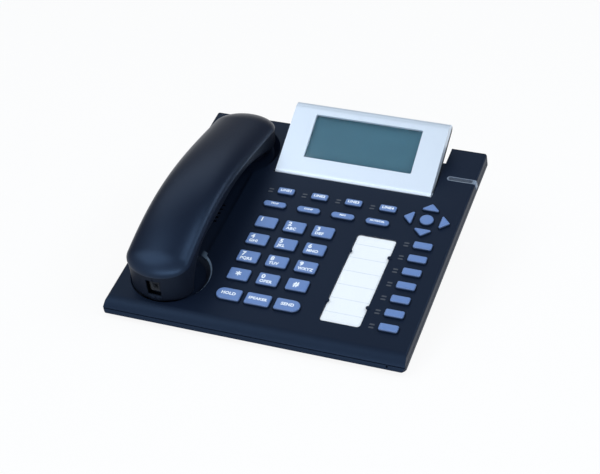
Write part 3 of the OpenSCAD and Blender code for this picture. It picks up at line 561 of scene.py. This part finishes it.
def letters(text, size, stretch=1.0, bold=0.04):
    """A word's thin solid as points, corners and face sizes, its left and baseline at zero; bold
    swells the strokes by that share of the size."""
    if text == "*":
        return star_glyph(size)
    curve = bpy.data.curves.new("word", "FONT")
    curve.body, curve.size = text, size
    curve.extrude, curve.resolution_u, curve.offset = INK_THICK, 3, bold * size
    curve.space_character = 1.0 + 1.6 * bold
    holder = bpy.data.objects.new("word", curve)
    bpy.context.scene.collection.objects.link(holder)
    ready = holder.evaluated_get(bpy.context.evaluated_depsgraph_get())
    mesh = bpy.data.meshes.new_from_object(ready)
    points = np.zeros(3 * len(mesh.vertices), np.float32)
    loops = np.zeros(len(mesh.loops), np.int32)
    sizes = np.zeros(len(mesh.polygons), np.int32)
    mesh.vertices.foreach_get("co", points)
    mesh.loops.foreach_get("vertex_index", loops)
    mesh.polygons.foreach_get("loop_total", sizes)
    bpy.data.objects.remove(holder)
    bpy.data.meshes.remove(mesh)
    bpy.data.curves.remove(curve)
    return points.reshape(-1, 3).astype(float) * [stretch, 1, 1], loops, sizes


def crown(x, y, w, l):
    """Height of a cap's top: the crown's rings, read by how near the point is to the edge."""
    near = np.maximum(np.abs(x) / (w / 2 - 1), np.abs(y) / (l / 2 - 1))
    return np.interp(near, CROWN_RINGS[:, 2], CROWN_RINGS[:, 0])


def legend(key, words, stretch=1.0, centred=True):
    """One piece of several words, each (text, x, y, size), in ink on the top of their key."""
    _, kx, ky, w, l = KEYS[key]
    points, loops, sizes, first = [], [], [], 0
    for text, x, y, size in words:
        p, corners, n = letters(text, size, stretch)
        p[:, 0] += x - (p[:, 0].max() / 2 if centred else 0)
        p[:, 1] += y
        p[:, 2] += crown(p[:, 0], p[:, 1], w, l) + INK_LIFT
        points.append(p + [kx, ky, 0])
        loops.append(corners + first)
        sizes.append(n)
        first += len(p)
    return new_mesh(key + "_legend", on_deck(np.concatenate(points)), np.concatenate(loops),
                    np.concatenate(sizes), body=key + "_button", slot="key_cap", material=ink,
                    smooth=20)


# %% Legends
ink = moulded_plastic("legend_ink", (0.86, 0.91, 0.97), (0.90, 0.94, 0.98), 0.6, 2500.0, 0.00001,
                      specular=0.2)
UNDER = {"2": "ABC", "3": "DEF", "4": "GHI", "5": "JKL", "6": "MNO", "7": "PQRS", "8": "TUV",
         "9": "WXYZ", "0": "OPER"}
DIGIT_AT, DIGIT_SIZE = (-5.3, -0.1), 5.4
UNDER_AT, UNDER_SIZE = (-5.3, -4.0), 3.6
SIGNS = {"star": [("*", -2.6, -6.2, 12.0)], "hash": [("#", -2.6, -2.2, 6.4)]}

for d in DIGITS:
    words = SIGNS.get(d, [(d, *DIGIT_AT, DIGIT_SIZE)])
    if d in UNDER:
        words.append((UNDER[d], *UNDER_AT, UNDER_SIZE))
    legend(f"key_{d}", words, centred=False)
for name, size in (("hold", 3.7), ("speaker", 3.3), ("send", 3.7)):
    legend(f"key_{name}", [(name.upper(), 0, -1.1, size)])
for i in range(1, 5):
    legend(f"key_line_{i}", [(f"LINE{i}", 0, -1.2, 3.5)], stretch=0.95)
for i, text in enumerate(("TRNF", "CONF", "MSG", "MUTE/DEL"), 1):
    legend(f"key_function_{i}", [(text, 0, -0.8, 2.3)])

# %% [markdown]
# ## The handset
#
# The handset is two moulded shells that meet along an arched seam. Over the seam the section is
# half an ellipse, under it a box with rounded lower corners whose floor lifts steeply behind the
# mouth, runs level under the fingers and comes down gently to the ear. Every size along it is a
# smooth function of the place y up the deck, so the shell is a grid of place by angle. Its wall is
# the same grid again, set in by two millimetres, and the two are closed along the rim.

# %% Lines along the handset
HX, HY, HL = WELL_X, 14.4, 198.1  # centre line, near end and length, along the deck
HALF_WIDTH, WAIST = 24.1, 0.35
MOUTH_ROUND, EAR_ROUND = 15.5, 20.0
SEAM_HIGH, SEAM_FALL, SEAM_ARCH, SEAM_LEAN = 21.7, 12.1, 17, 0.3
CROWN_RISE, WALL, SEAM_STEP = 8.4, 2.0, 0.7
GRIP_LIFT, GRIP_RISE, GRIP_FALL, EAR_REST = 25, 31, 84, 24.5


def half_width(y):
    """24.1 mm at the ends, 0.35 mm less at the waist: a cosine along the length."""
    return HALF_WIDTH - WAIST / 2 * (1 - np.cos(2 * np.pi * (y - HY) / HL))


def seam(y):
    """Height of the seam: it falls 12.1 mm from mouth to ear; a 17 mm arch leans to the mouth."""
    u = np.clip((y - HY) / HL, 0, 1)
    return SEAM_HIGH - SEAM_FALL * u + SEAM_ARCH * np.sin(np.pi * (u + SEAM_LEAN * u * (1 - u)))


def floor_height(y):
    """Height of the floor: 1 mm under the deck at the cups, 25 mm higher at the grip, after a
    steep rise behind the mouth and before a parabola down to the ear."""
    mouth, ear = HY + MOUTH_ROUND, HY + HL - EAR_REST
    rise = np.clip((mouth + GRIP_RISE - y) / GRIP_RISE, 0, 1)
    fall = np.clip((y - ear + GRIP_FALL) / GRIP_FALL, 0, 1)
    return -1 + GRIP_LIFT * (1 - rise ** 2) ** 0.65 * (1 - fall ** 2)


middle = HY + HL / 2
print(f"at the middle: {2 * half_width(middle):.1f} mm wide, seam {seam(middle):.1f} mm up,",
      f"floor {floor_height(middle):.1f} mm up")


# %% Surfaces of the two shells
def stations(t, ends=26, middle=150):
    """Places along the handset for a surface set in by t, and how far each end has opened there:
    an end is a quarter ellipse, so its place is a cosine and its opening a sine."""
    a = np.linspace(0, np.pi / 2, ends)
    y0, y1 = HY + MOUTH_ROUND, HY + HL - EAR_ROUND
    y = np.concatenate([y0 - (MOUTH_ROUND - t) * np.cos(a), np.linspace(y0, y1, middle)[1:-1],
                        (y1 + (EAR_ROUND - t) * np.cos(a))[::-1]])
    return y, np.concatenate([np.sin(a), np.ones(middle - 2), np.sin(a)[::-1]])


def crown_surface(t, around=49):
    """Half ellipse over the seam: half width and rise, both less t, times the end's opening."""
    y, opened = stations(t)
    a = np.linspace(np.pi, 0, around)[None, :]
    w, h = ((half_width(y) - t) * opened)[:, None], ((CROWN_RISE - t) * opened)[:, None]
    places = np.repeat(y[:, None], around, 1)
    return np.stack([HX + w * np.cos(a), places, seam(y)[:, None] + h * np.sin(a)], -1)


def grip_surface(t, corner=9):
    """Straight sides down from the seam, a quarter round of at most 4 mm, and a flat floor."""
    y, opened = stations(t)
    w = ((half_width(y) - t) * opened)[:, None]
    r = np.minimum(4, 0.8 * w)
    z = floor_height(y)[:, None] + t - SEAM_STEP
    top = seam(y)[:, None]
    a = np.radians(np.linspace(180, 270, corner))[None, :]
    left = np.stack([HX - w + r + r * np.cos(a), z + r + r * np.sin(a)], -1)
    right = np.stack([HX + w - r - r * np.cos(a[:, ::-1]), z + r + r * np.sin(a[:, ::-1])], -1)
    side = np.linspace(0, 1, 6)[None, :-1]
    down = np.stack([HX - w + 0 * side, top + (left[:, :1, 1] - top) * side], -1)
    up = np.stack([HX + w + 0 * side, top + (right[:, -1:, 1] - top) * side], -1)[:, ::-1]
    flat = np.linspace(0, 1, 8)[None, 1:-1, None]
    across = left[:, -1:, :] * (1 - flat) + right[:, :1, :] * flat
    ring = np.concatenate([down, left, across, right, up], 1)
    places = np.repeat(y[:, None, None], ring.shape[1], 1)
    return np.concatenate([ring[..., :1], places, ring[..., 1:]], -1)


# %% [markdown]
# A shell is closed by walking each section out along the outer surface and back along the inner
# one. At the two ends the section closes to a line, so the points there are merged. Which way the
# faces look is settled by the signed volume: if it comes out negative, the faces are turned over.

# %% Thin shells
def tidy_solid(obj):
    """Merges points that fall together and turns the faces outwards, by the sign of the volume."""
    b = bmesh.new()
    b.from_mesh(obj.data)
    bmesh.ops.remove_doubles(b, verts=b.verts, dist=2e-6)
    if b.calc_volume(signed=True) < 0:
        bmesh.ops.reverse_faces(b, faces=b.faces)
    open_edges = sum(1 for e in b.edges if len(e.link_faces) != 2)
    litres = b.calc_volume() * 1000
    b.to_mesh(obj.data)
    b.free()
    print(f"{obj.name}: {len(obj.data.polygons)} faces, {litres:.4f} l, {open_edges} open edges")
    return obj


def thin_shell(name, surface, t, **where):
    """A tube of closed sections: out along the surface set in by t, back along it a wall deeper."""
    rings = np.concatenate([surface(t), surface(t + WALL)[:, ::-1]], 1)
    quads = ring_faces(*rings.shape[:2])
    return tidy_solid(new_mesh(name, on_deck(rings).reshape(-1, 3), quads.ravel(),
                               np.full(len(quads), 4), smooth=35, **where))


handset_top = thin_shell("handset_top", crown_surface, 0.0, body="handset", slot="handset",
                         material=handset_blue)
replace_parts(handset_top, "handset_outer_shell")

# %% [markdown]
# The inner shell carries the round mouth and ear cups and, at the mouth end, the opening for the
# cord's plug. The cups and the cuts are plain cones and a box, joined to the thin shell and cut out
# of it by Boolean modifiers, which are then baked into the mesh so that no helper stays behind.

# %% Tools for joining and cutting
def cone_rings(x, y, z0, z1, r0, r1, sides=96):
    """Two circles, r0 wide at z0 and r1 at z1, as a stack on the deck."""
    a = np.linspace(0, 2 * np.pi, sides, endpoint=False)
    return on_deck(np.array([np.stack([x + r * np.cos(a), y + r * np.sin(a), np.full(sides, z)], -1)
                             for z, r in ((z0, r0), (z1, r1))]))


def box_rings(x0, x1, y0, y1, z0, z1):
    """A box as two rectangles on the deck, one over the other."""
    plan = np.array([(x0, y0), (x1, y0), (x1, y1), (x0, y1)], float)
    return on_deck(np.array([np.column_stack([plan, np.full(4, z)]) for z in (z0, z1)]))


def bake(obj, operation, tools):
    """Joins or cuts each tool in turn, keeps the result as the mesh and removes the tools."""
    for rings in tools:
        tool = stack_mesh("tool", rings, body="handset", slot="handset", material=underside_black)
        step = obj.modifiers.new("step", "BOOLEAN")
        step.operation, step.solver, step.object = operation, "EXACT", tool
        ready = obj.evaluated_get(bpy.context.evaluated_depsgraph_get())
        done = bpy.data.meshes.new_from_object(ready)
        obj.modifiers.remove(step)
        obj.data = done
        bpy.data.objects.remove(tool)
    print(f"{obj.name}: {operation.lower()} with {len(tools)} tools")


# %% Handset underside
CUP_LOW, CUP_LOW_RADIUS, CUP_HIGH_RADIUS = -5.2, 16.5, 18
MOUTH_CUP, EAR_CUP = HY + 24.0, HY + HL - 24.0
CUPS = ((MOUTH_CUP, 25), (EAR_CUP, 12))
HOLES_LOW, EAR_HOLE_RING, OVERCUT = -12, 7, 0.01

handset_under = thin_shell("handset_under", grip_surface, SEAM_STEP, body="handset",
                           slot="handset", material=underside_black)
bake(handset_under, "UNION", [cone_rings(HX, y, CUP_LOW, top, CUP_LOW_RADIUS, CUP_HIGH_RADIUS)
                              for y, top in CUPS])
hollows = [cone_rings(HX, y, CUP_LOW + WALL, top + OVERCUT,
                      CUP_LOW_RADIUS - WALL, CUP_HIGH_RADIUS - WALL) for y, top in CUPS]
plug_opening = box_rings(HX - 5.8, HX + 4.8, HY - 14, HY + 14, 3.8, 17.4)
ear_holes = [cone_rings(HX + EAR_HOLE_RING * math.cos(a), EAR_CUP + EAR_HOLE_RING * math.sin(a),
                        HOLES_LOW, 0, 1, 1, 24) for a in np.radians(range(0, 360, 60))]
mouth_holes = [cone_rings(HX + x, MOUTH_CUP, HOLES_LOW, 0, 0.8, 0.8, 24) for x in (-2, 2)]
bake(handset_under, "DIFFERENCE", [*hollows, plug_opening, *ear_holes, *mouth_holes])
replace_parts(tidy_solid(handset_under), "handset_inner_shell")

# %% [markdown]
# The cord's socket sits a little to the right of its opening: a small grey block with the plug's
# hole in it, and a dark gap to its left and below.

# %% Cord socket
JX, JY, JZ = HX - 0.5, HY + 1.5, 10.6  # middle of the socket's front
BACK_HALF, BACK_TALL, BACK_END = 5.2, 6.7, 12
BLOCK_LEFT, BLOCK_LOW, BLOCK_DEEP = 1.6, 2.2, 4.5

jack_back = stack_mesh("cord_socket_back",
                       box_rings(JX - BACK_HALF, JX + BACK_HALF, JY + BLOCK_DEEP, JY + BACK_END,
                                 JZ - BACK_TALL, JZ + BACK_TALL),
                       body="handset", slot="socket", material=rubber_black)
jack_block = stack_mesh("cord_socket_block",
                        box_rings(JX - BLOCK_LEFT, JX + BACK_HALF, JY, JY + BLOCK_DEEP,
                                  JZ - BLOCK_LOW, JZ + BACK_TALL),
                        body="handset", slot="socket", material=jack_grey)
plug_hole = box_rings(JX + 0.2, JX + 3.8, JY - 1, JY + 4.1, JZ - 1.0, JZ + 4.6)
bake(jack_block, "DIFFERENCE", [plug_hole])
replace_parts(jack_back, "handset_cord_jack")
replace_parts(tidy_solid(jack_block), "handset_cord_jack")

# %% [markdown]
# ## The screen
#
# The display's bezel is painted silver with fine flake. Its screen is a dull blue-grey liquid
# crystal behind a clear window; its colour darkens a little towards the upper edge, a painted shade
# under the bezel's top edge. The window only has to show what is behind it and a soft reflection,
# so it mixes a transparent shader with a glossy one by Fresnel: refraction through so thin a plate
# would move nothing that can be seen.

# %% Clear parts
CLEAR_IOR = 1.45


def clear_sheet(name, tint, rough=0.04):
    """Transparent, with gloss by Fresnel on its outer side only, and a node named haze that can
    mix in the tint as a solid colour."""
    m, nodes, links, shader = material(name)
    clear, gloss = nodes.new("ShaderNodeBsdfTransparent"), nodes.new("ShaderNodeBsdfGlossy")
    clear.inputs["Color"].default_value = (*tint, 1)
    fine = noise(nodes, links, object_coords(nodes), 300.0)
    links.new(remap(nodes, links, fine, rough, rough + 0.03), gloss.inputs["Roughness"])
    fresnel, side = nodes.new("ShaderNodeFresnel"), nodes.new("ShaderNodeNewGeometry")
    fresnel.inputs["IOR"].default_value = CLEAR_IOR
    front = nodes.new("ShaderNodeMix")
    front.inputs["B"].default_value = 0.0
    links.new(side.outputs["Backfacing"], front.inputs["Factor"])
    links.new(fresnel.outputs["Fac"], front.inputs["A"])
    shine, solid_tint = nodes.new("ShaderNodeMixShader"), nodes.new("ShaderNodeMixShader")
    links.new(front.outputs["Result"], shine.inputs["Fac"])
    links.new(clear.outputs["BSDF"], shine.inputs[1])
    links.new(gloss.outputs["BSDF"], shine.inputs[2])
    shader.inputs["Base Color"].default_value = (*tint, 1)
    shader.inputs["Roughness"].default_value = 0.4
    # This mix can paint a pale highlight in the tint's solid colour; the message lamp's outline uses
    # it.
    solid_tint.name = "solid_tint"
    solid_tint.inputs["Fac"].default_value = 0.0
    links.new(shine.outputs["Shader"], solid_tint.inputs[1])
    links.new(shader.outputs["BSDF"], solid_tint.inputs[2])
    links.new(solid_tint.outputs["Shader"], nodes["Material Output"].inputs["Surface"])
    return m


dress(clear_sheet("window_clear", (0.97, 0.99, 1.0)), "lcd_window")
dress(clear_sheet("cover_clear", (0.99, 0.995, 1.0)), "label_cover")


# %% Bezel and screen
# Painted shade: the screen's colour darkens between these two places up the deck, under the bezel.
SCREEN_LOW, SCREEN_HIGH = 175.0, 225.0


def silver_paint(name):
    """Satin silver: flake as very fine noise in the colour, and two fifths metal."""
    m, nodes, links, shader = material(name)
    where = object_coords(nodes)
    flake = noise(nodes, links, where, 5200.0, 1.0)
    two_tone(nodes, links, flake, (0.57, 0.645, 0.74), (0.72, 0.795, 0.89), shader)
    fine = noise(nodes, links, where, 900.0)
    links.new(remap(nodes, links, fine, 0.36, 0.44), shader.inputs["Roughness"])
    shader.inputs["Metallic"].default_value = 0.4
    return m


def screen_glass(name, low, high):
    """Liquid crystal: colour goes from low to high up the screen, a painted shade under the bezel's
    top edge; roughness has a faint grain.
    """
    m, nodes, links, shader = material(name)
    up = remap(nodes, links, deck_place(nodes, links)["Y"], 0.0, 1.0, SCREEN_LOW, SCREEN_HIGH)
    two_tone(nodes, links, up, low, high, shader)
    fine = noise(nodes, links, object_coords(nodes), 1200.0)
    links.new(remap(nodes, links, fine, 0.3, 0.36), shader.inputs["Roughness"])
    return m


dress(silver_paint("bezel_silver"), "display_bezel")
# The second, darker colour is the painted shade at the screen's upper edge.
dress(screen_glass("liquid_crystal", (0.12, 0.32, 0.42), (0.105, 0.29, 0.385)), "lcd_module")

# %% [markdown]
# ## Card, lights and lamp
#
# The name card is matt white paper with six printed lines, one between each two keys beside it. The
# small lights are dark clear plastic while they are off. The message lamp is a clear slot in the
# right edge; along its outline, where its wall turns down, a pale highlight is painted by mixing in
# its tint as a solid colour.

# %% Card and lights
CARD_X, LINE_REACH, LINE_HALF = 57.0, 13.6, 0.14
LINE_LOW, LINE_TOP = -1.125, -1.10

paper = moulded_plastic("card_paper", (0.95, 0.955, 0.96), (0.97, 0.975, 0.98), 0.7, 600.0)
dress(paper, "label_card")
pipe = moulded_plastic("light_pipe_clear", (0.045, 0.055, 0.075), (0.06, 0.07, 0.09), 0.35, 2000.0,
                       specular=0.3)
dress(pipe, "status_lights")
ruled = moulded_plastic("ruled_grey", (0.5, 0.55, 0.6), (0.6, 0.65, 0.7), 0.7)


def strips(name, boxes, z0, z1, **where):
    """Thin boxes on the deck: each is a rectangle x0, y0, x1, y1 lifted from z0 to z1."""
    b = np.asarray(boxes, float)
    x, y = b[:, [0, 2, 2, 0] * 2], b[:, [1, 1, 3, 3] * 2]
    z = np.tile([z0] * 4 + [z1] * 4, (len(b), 1))
    return new_mesh(name, on_deck(np.stack([x, y, z], -1)).reshape(-1, 3), box_loops(len(b)),
                    np.full(6 * len(b), 4), **where)


rows = [SPEED_Y - SPEED_ROW * (i + 0.5) for i in range(6)]
strips("card_lines", [(CARD_X - LINE_REACH, y - LINE_HALF, CARD_X + LINE_REACH, y + LINE_HALF)
                      for y in rows], LINE_LOW, LINE_TOP, body="base", slot="card", material=ruled)
print("card lines:", len(rows))

# %% Message lamp
LAMP_LEFT, LAMP_RIGHT, LAMP_Y, LAMP_HALF = 88.0, 109.5, 188.5, 2.25
# Share of solid tint: a little over the whole lamp, more along its outline as a painted highlight.
PAINTED_EDGE_LEAST, PAINTED_EDGE_MOST = 0.05, 0.4


def paint_lamp_outline_highlight(finish):
    """The painted highlight's share is the greatest of three bands: off the slot's centre line,
    and at its two ends.
    """
    nodes, links = finish.node_tree.nodes, finish.node_tree.links
    place = deck_place(nodes, links)
    off = maths(nodes, links, "ABSOLUTE", maths(nodes, links, "SUBTRACT", place["Y"], LAMP_Y))
    sides = remap(nodes, links, off, PAINTED_EDGE_LEAST, PAINTED_EDGE_MOST, LAMP_HALF - 0.8, LAMP_HALF - 0.4)
    near = remap(nodes, links, place["X"], PAINTED_EDGE_MOST, PAINTED_EDGE_LEAST, LAMP_LEFT + 0.8, LAMP_LEFT + 1.5)
    far = remap(nodes, links, place["X"], PAINTED_EDGE_LEAST, PAINTED_EDGE_MOST, LAMP_RIGHT - 2.6, LAMP_RIGHT - 1.8)
    links.new(any_of(nodes, links, sides, near, far), nodes["solid_tint"].inputs["Fac"])


lamp_clear = clear_sheet("lamp_clear", (0.42, 0.52, 0.66), rough=0.1)
# A pale highlight painted along the lamp's outline.
paint_lamp_outline_highlight(lamp_clear)
dress(lamp_clear, "message_lamp")

# %% [markdown]
# ## Floor and light
#
# The telephone stands on a white floor that runs out to a white surround. The lamps are large and
# soft: the main one high in front on the left, one behind whose light the sloping deck mirrors, a
# small one above that the handset's shoulder mirrors, a long one on the right that draws its edge,
# and a low one in front. Mirrored rays see the surround white in front and all round the horizon,
# dimming to a sixth high up towards the back, so the rolled front edge comes out paler than the
# deck and the dark plastic keeps its depth.

# %% Floor
FLOOR_SIZE = 24
GLOW_SHARE = 0.9


def plain_view(nodes, links):
    """1 for the rays that see the white floor and surround as they are: those of the camera and
    those that were mirrored or let through."""
    rays = nodes.new("ShaderNodeLightPath").outputs
    return any_of(nodes, links, rays["Is Camera Ray"], rays["Is Glossy Ray"],
                  rays["Is Transmission Ray"])


bpy.ops.mesh.primitive_plane_add(size=FLOOR_SIZE, location=(0, 0, 0))
floor = bpy.context.object
floor.name = "floor"
floor_white, nodes, links, shader = material("floor_white")
tint = noise(nodes, links, object_coords(nodes), 3.0)
two_tone(nodes, links, tint, (0.89, 0.91, 0.93), (0.91, 0.93, 0.95), shader)
shader.inputs["Roughness"].default_value = 0.9
shader.inputs["Specular IOR Level"].default_value = 0.1
share = maths(nodes, links, "MULTIPLY", plain_view(nodes, links), GLOW_SHARE)
glow, blend = nodes.new("ShaderNodeEmission"), nodes.new("ShaderNodeMixShader")
links.new(share, blend.inputs["Fac"])
links.new(shader.outputs["BSDF"], blend.inputs[1])
links.new(glow.outputs["Emission"], blend.inputs[2])
links.new(blend.outputs["Shader"], nodes["Material Output"].inputs["Surface"])
floor.data.materials.append(floor_white)
print(f"floor {FLOOR_SIZE} m wide")

# %% Lamps
COOL_WHITE = (0.86, 0.93, 1.0)


def soft_box(name, place, size, watts, aim=(0.0, 0.0, 0.04)):
    """A rectangular area lamp (wide, tall) at a place, turned to face a point."""
    lamp = bpy.data.lights.new(name, "AREA")
    lamp.shape, lamp.size, lamp.size_y = "RECTANGLE", *size
    lamp.energy, lamp.color = watts, COOL_WHITE
    holder = bpy.data.objects.new(name, lamp)
    away = Vector(place) - Vector(aim)
    turn = away.to_track_quat("Z", "Y").to_matrix().to_4x4()
    holder.matrix_world = Matrix.Translation(place) @ turn
    bpy.context.scene.collection.objects.link(holder)
    print(f"{name}: {watts} W, {away.length:.2f} m away")


soft_box("key_light", (-0.75, -0.65, 1.4), (1.1, 1.1), 10)
soft_box("top_light", (0.5, 0.0, 1.35), (0.5, 0.5), 3.5)
soft_box("back_light", (-0.6, 0.7, 1.1), (1.1, 0.7), 2.5)
soft_box("right_light", (0.95, 0.25, 0.95), (1.6, 0.3), 6)
soft_box("front_light", (0.25, -1.55, 0.4), (1.6, 0.6), 11)

# %% Surround
FILL, DIM = 0.25, 0.16

world = bpy.data.worlds.new("surround")
bpy.context.scene.world = world
world.use_nodes = True
nodes, links = world.node_tree.nodes, world.node_tree.links
background = nodes["Background"].inputs
seen = plain_view(nodes, links)
way = nodes.new("ShaderNodeSeparateXYZ")
links.new(nodes.new("ShaderNodeTexCoord").outputs["Generated"], way.inputs["Vector"])
in_front = remap(nodes, links, way.outputs["Y"], 1.0, DIM, -0.75, 0.1)
horizon = remap(nodes, links, way.outputs["Z"], 1.0, DIM, 0.06, 0.25)
from_camera = nodes.new("ShaderNodeLightPath").outputs["Is Camera Ray"]
strength = nodes.new("ShaderNodeMix")
strength.inputs["A"].default_value = FILL
links.new(seen, strength.inputs["Factor"])
links.new(any_of(nodes, links, in_front, horizon, from_camera), strength.inputs["B"])
links.new(strength.outputs["Result"], background["Strength"])
links.new(mixed(nodes, links, seen, COOL_WHITE, (1.0, 1.0, 1.0)), background["Color"])
bpy.context.scene.view_settings.view_transform = "Standard"
print("surround:", FILL, "as light on the object, 1 as a background")
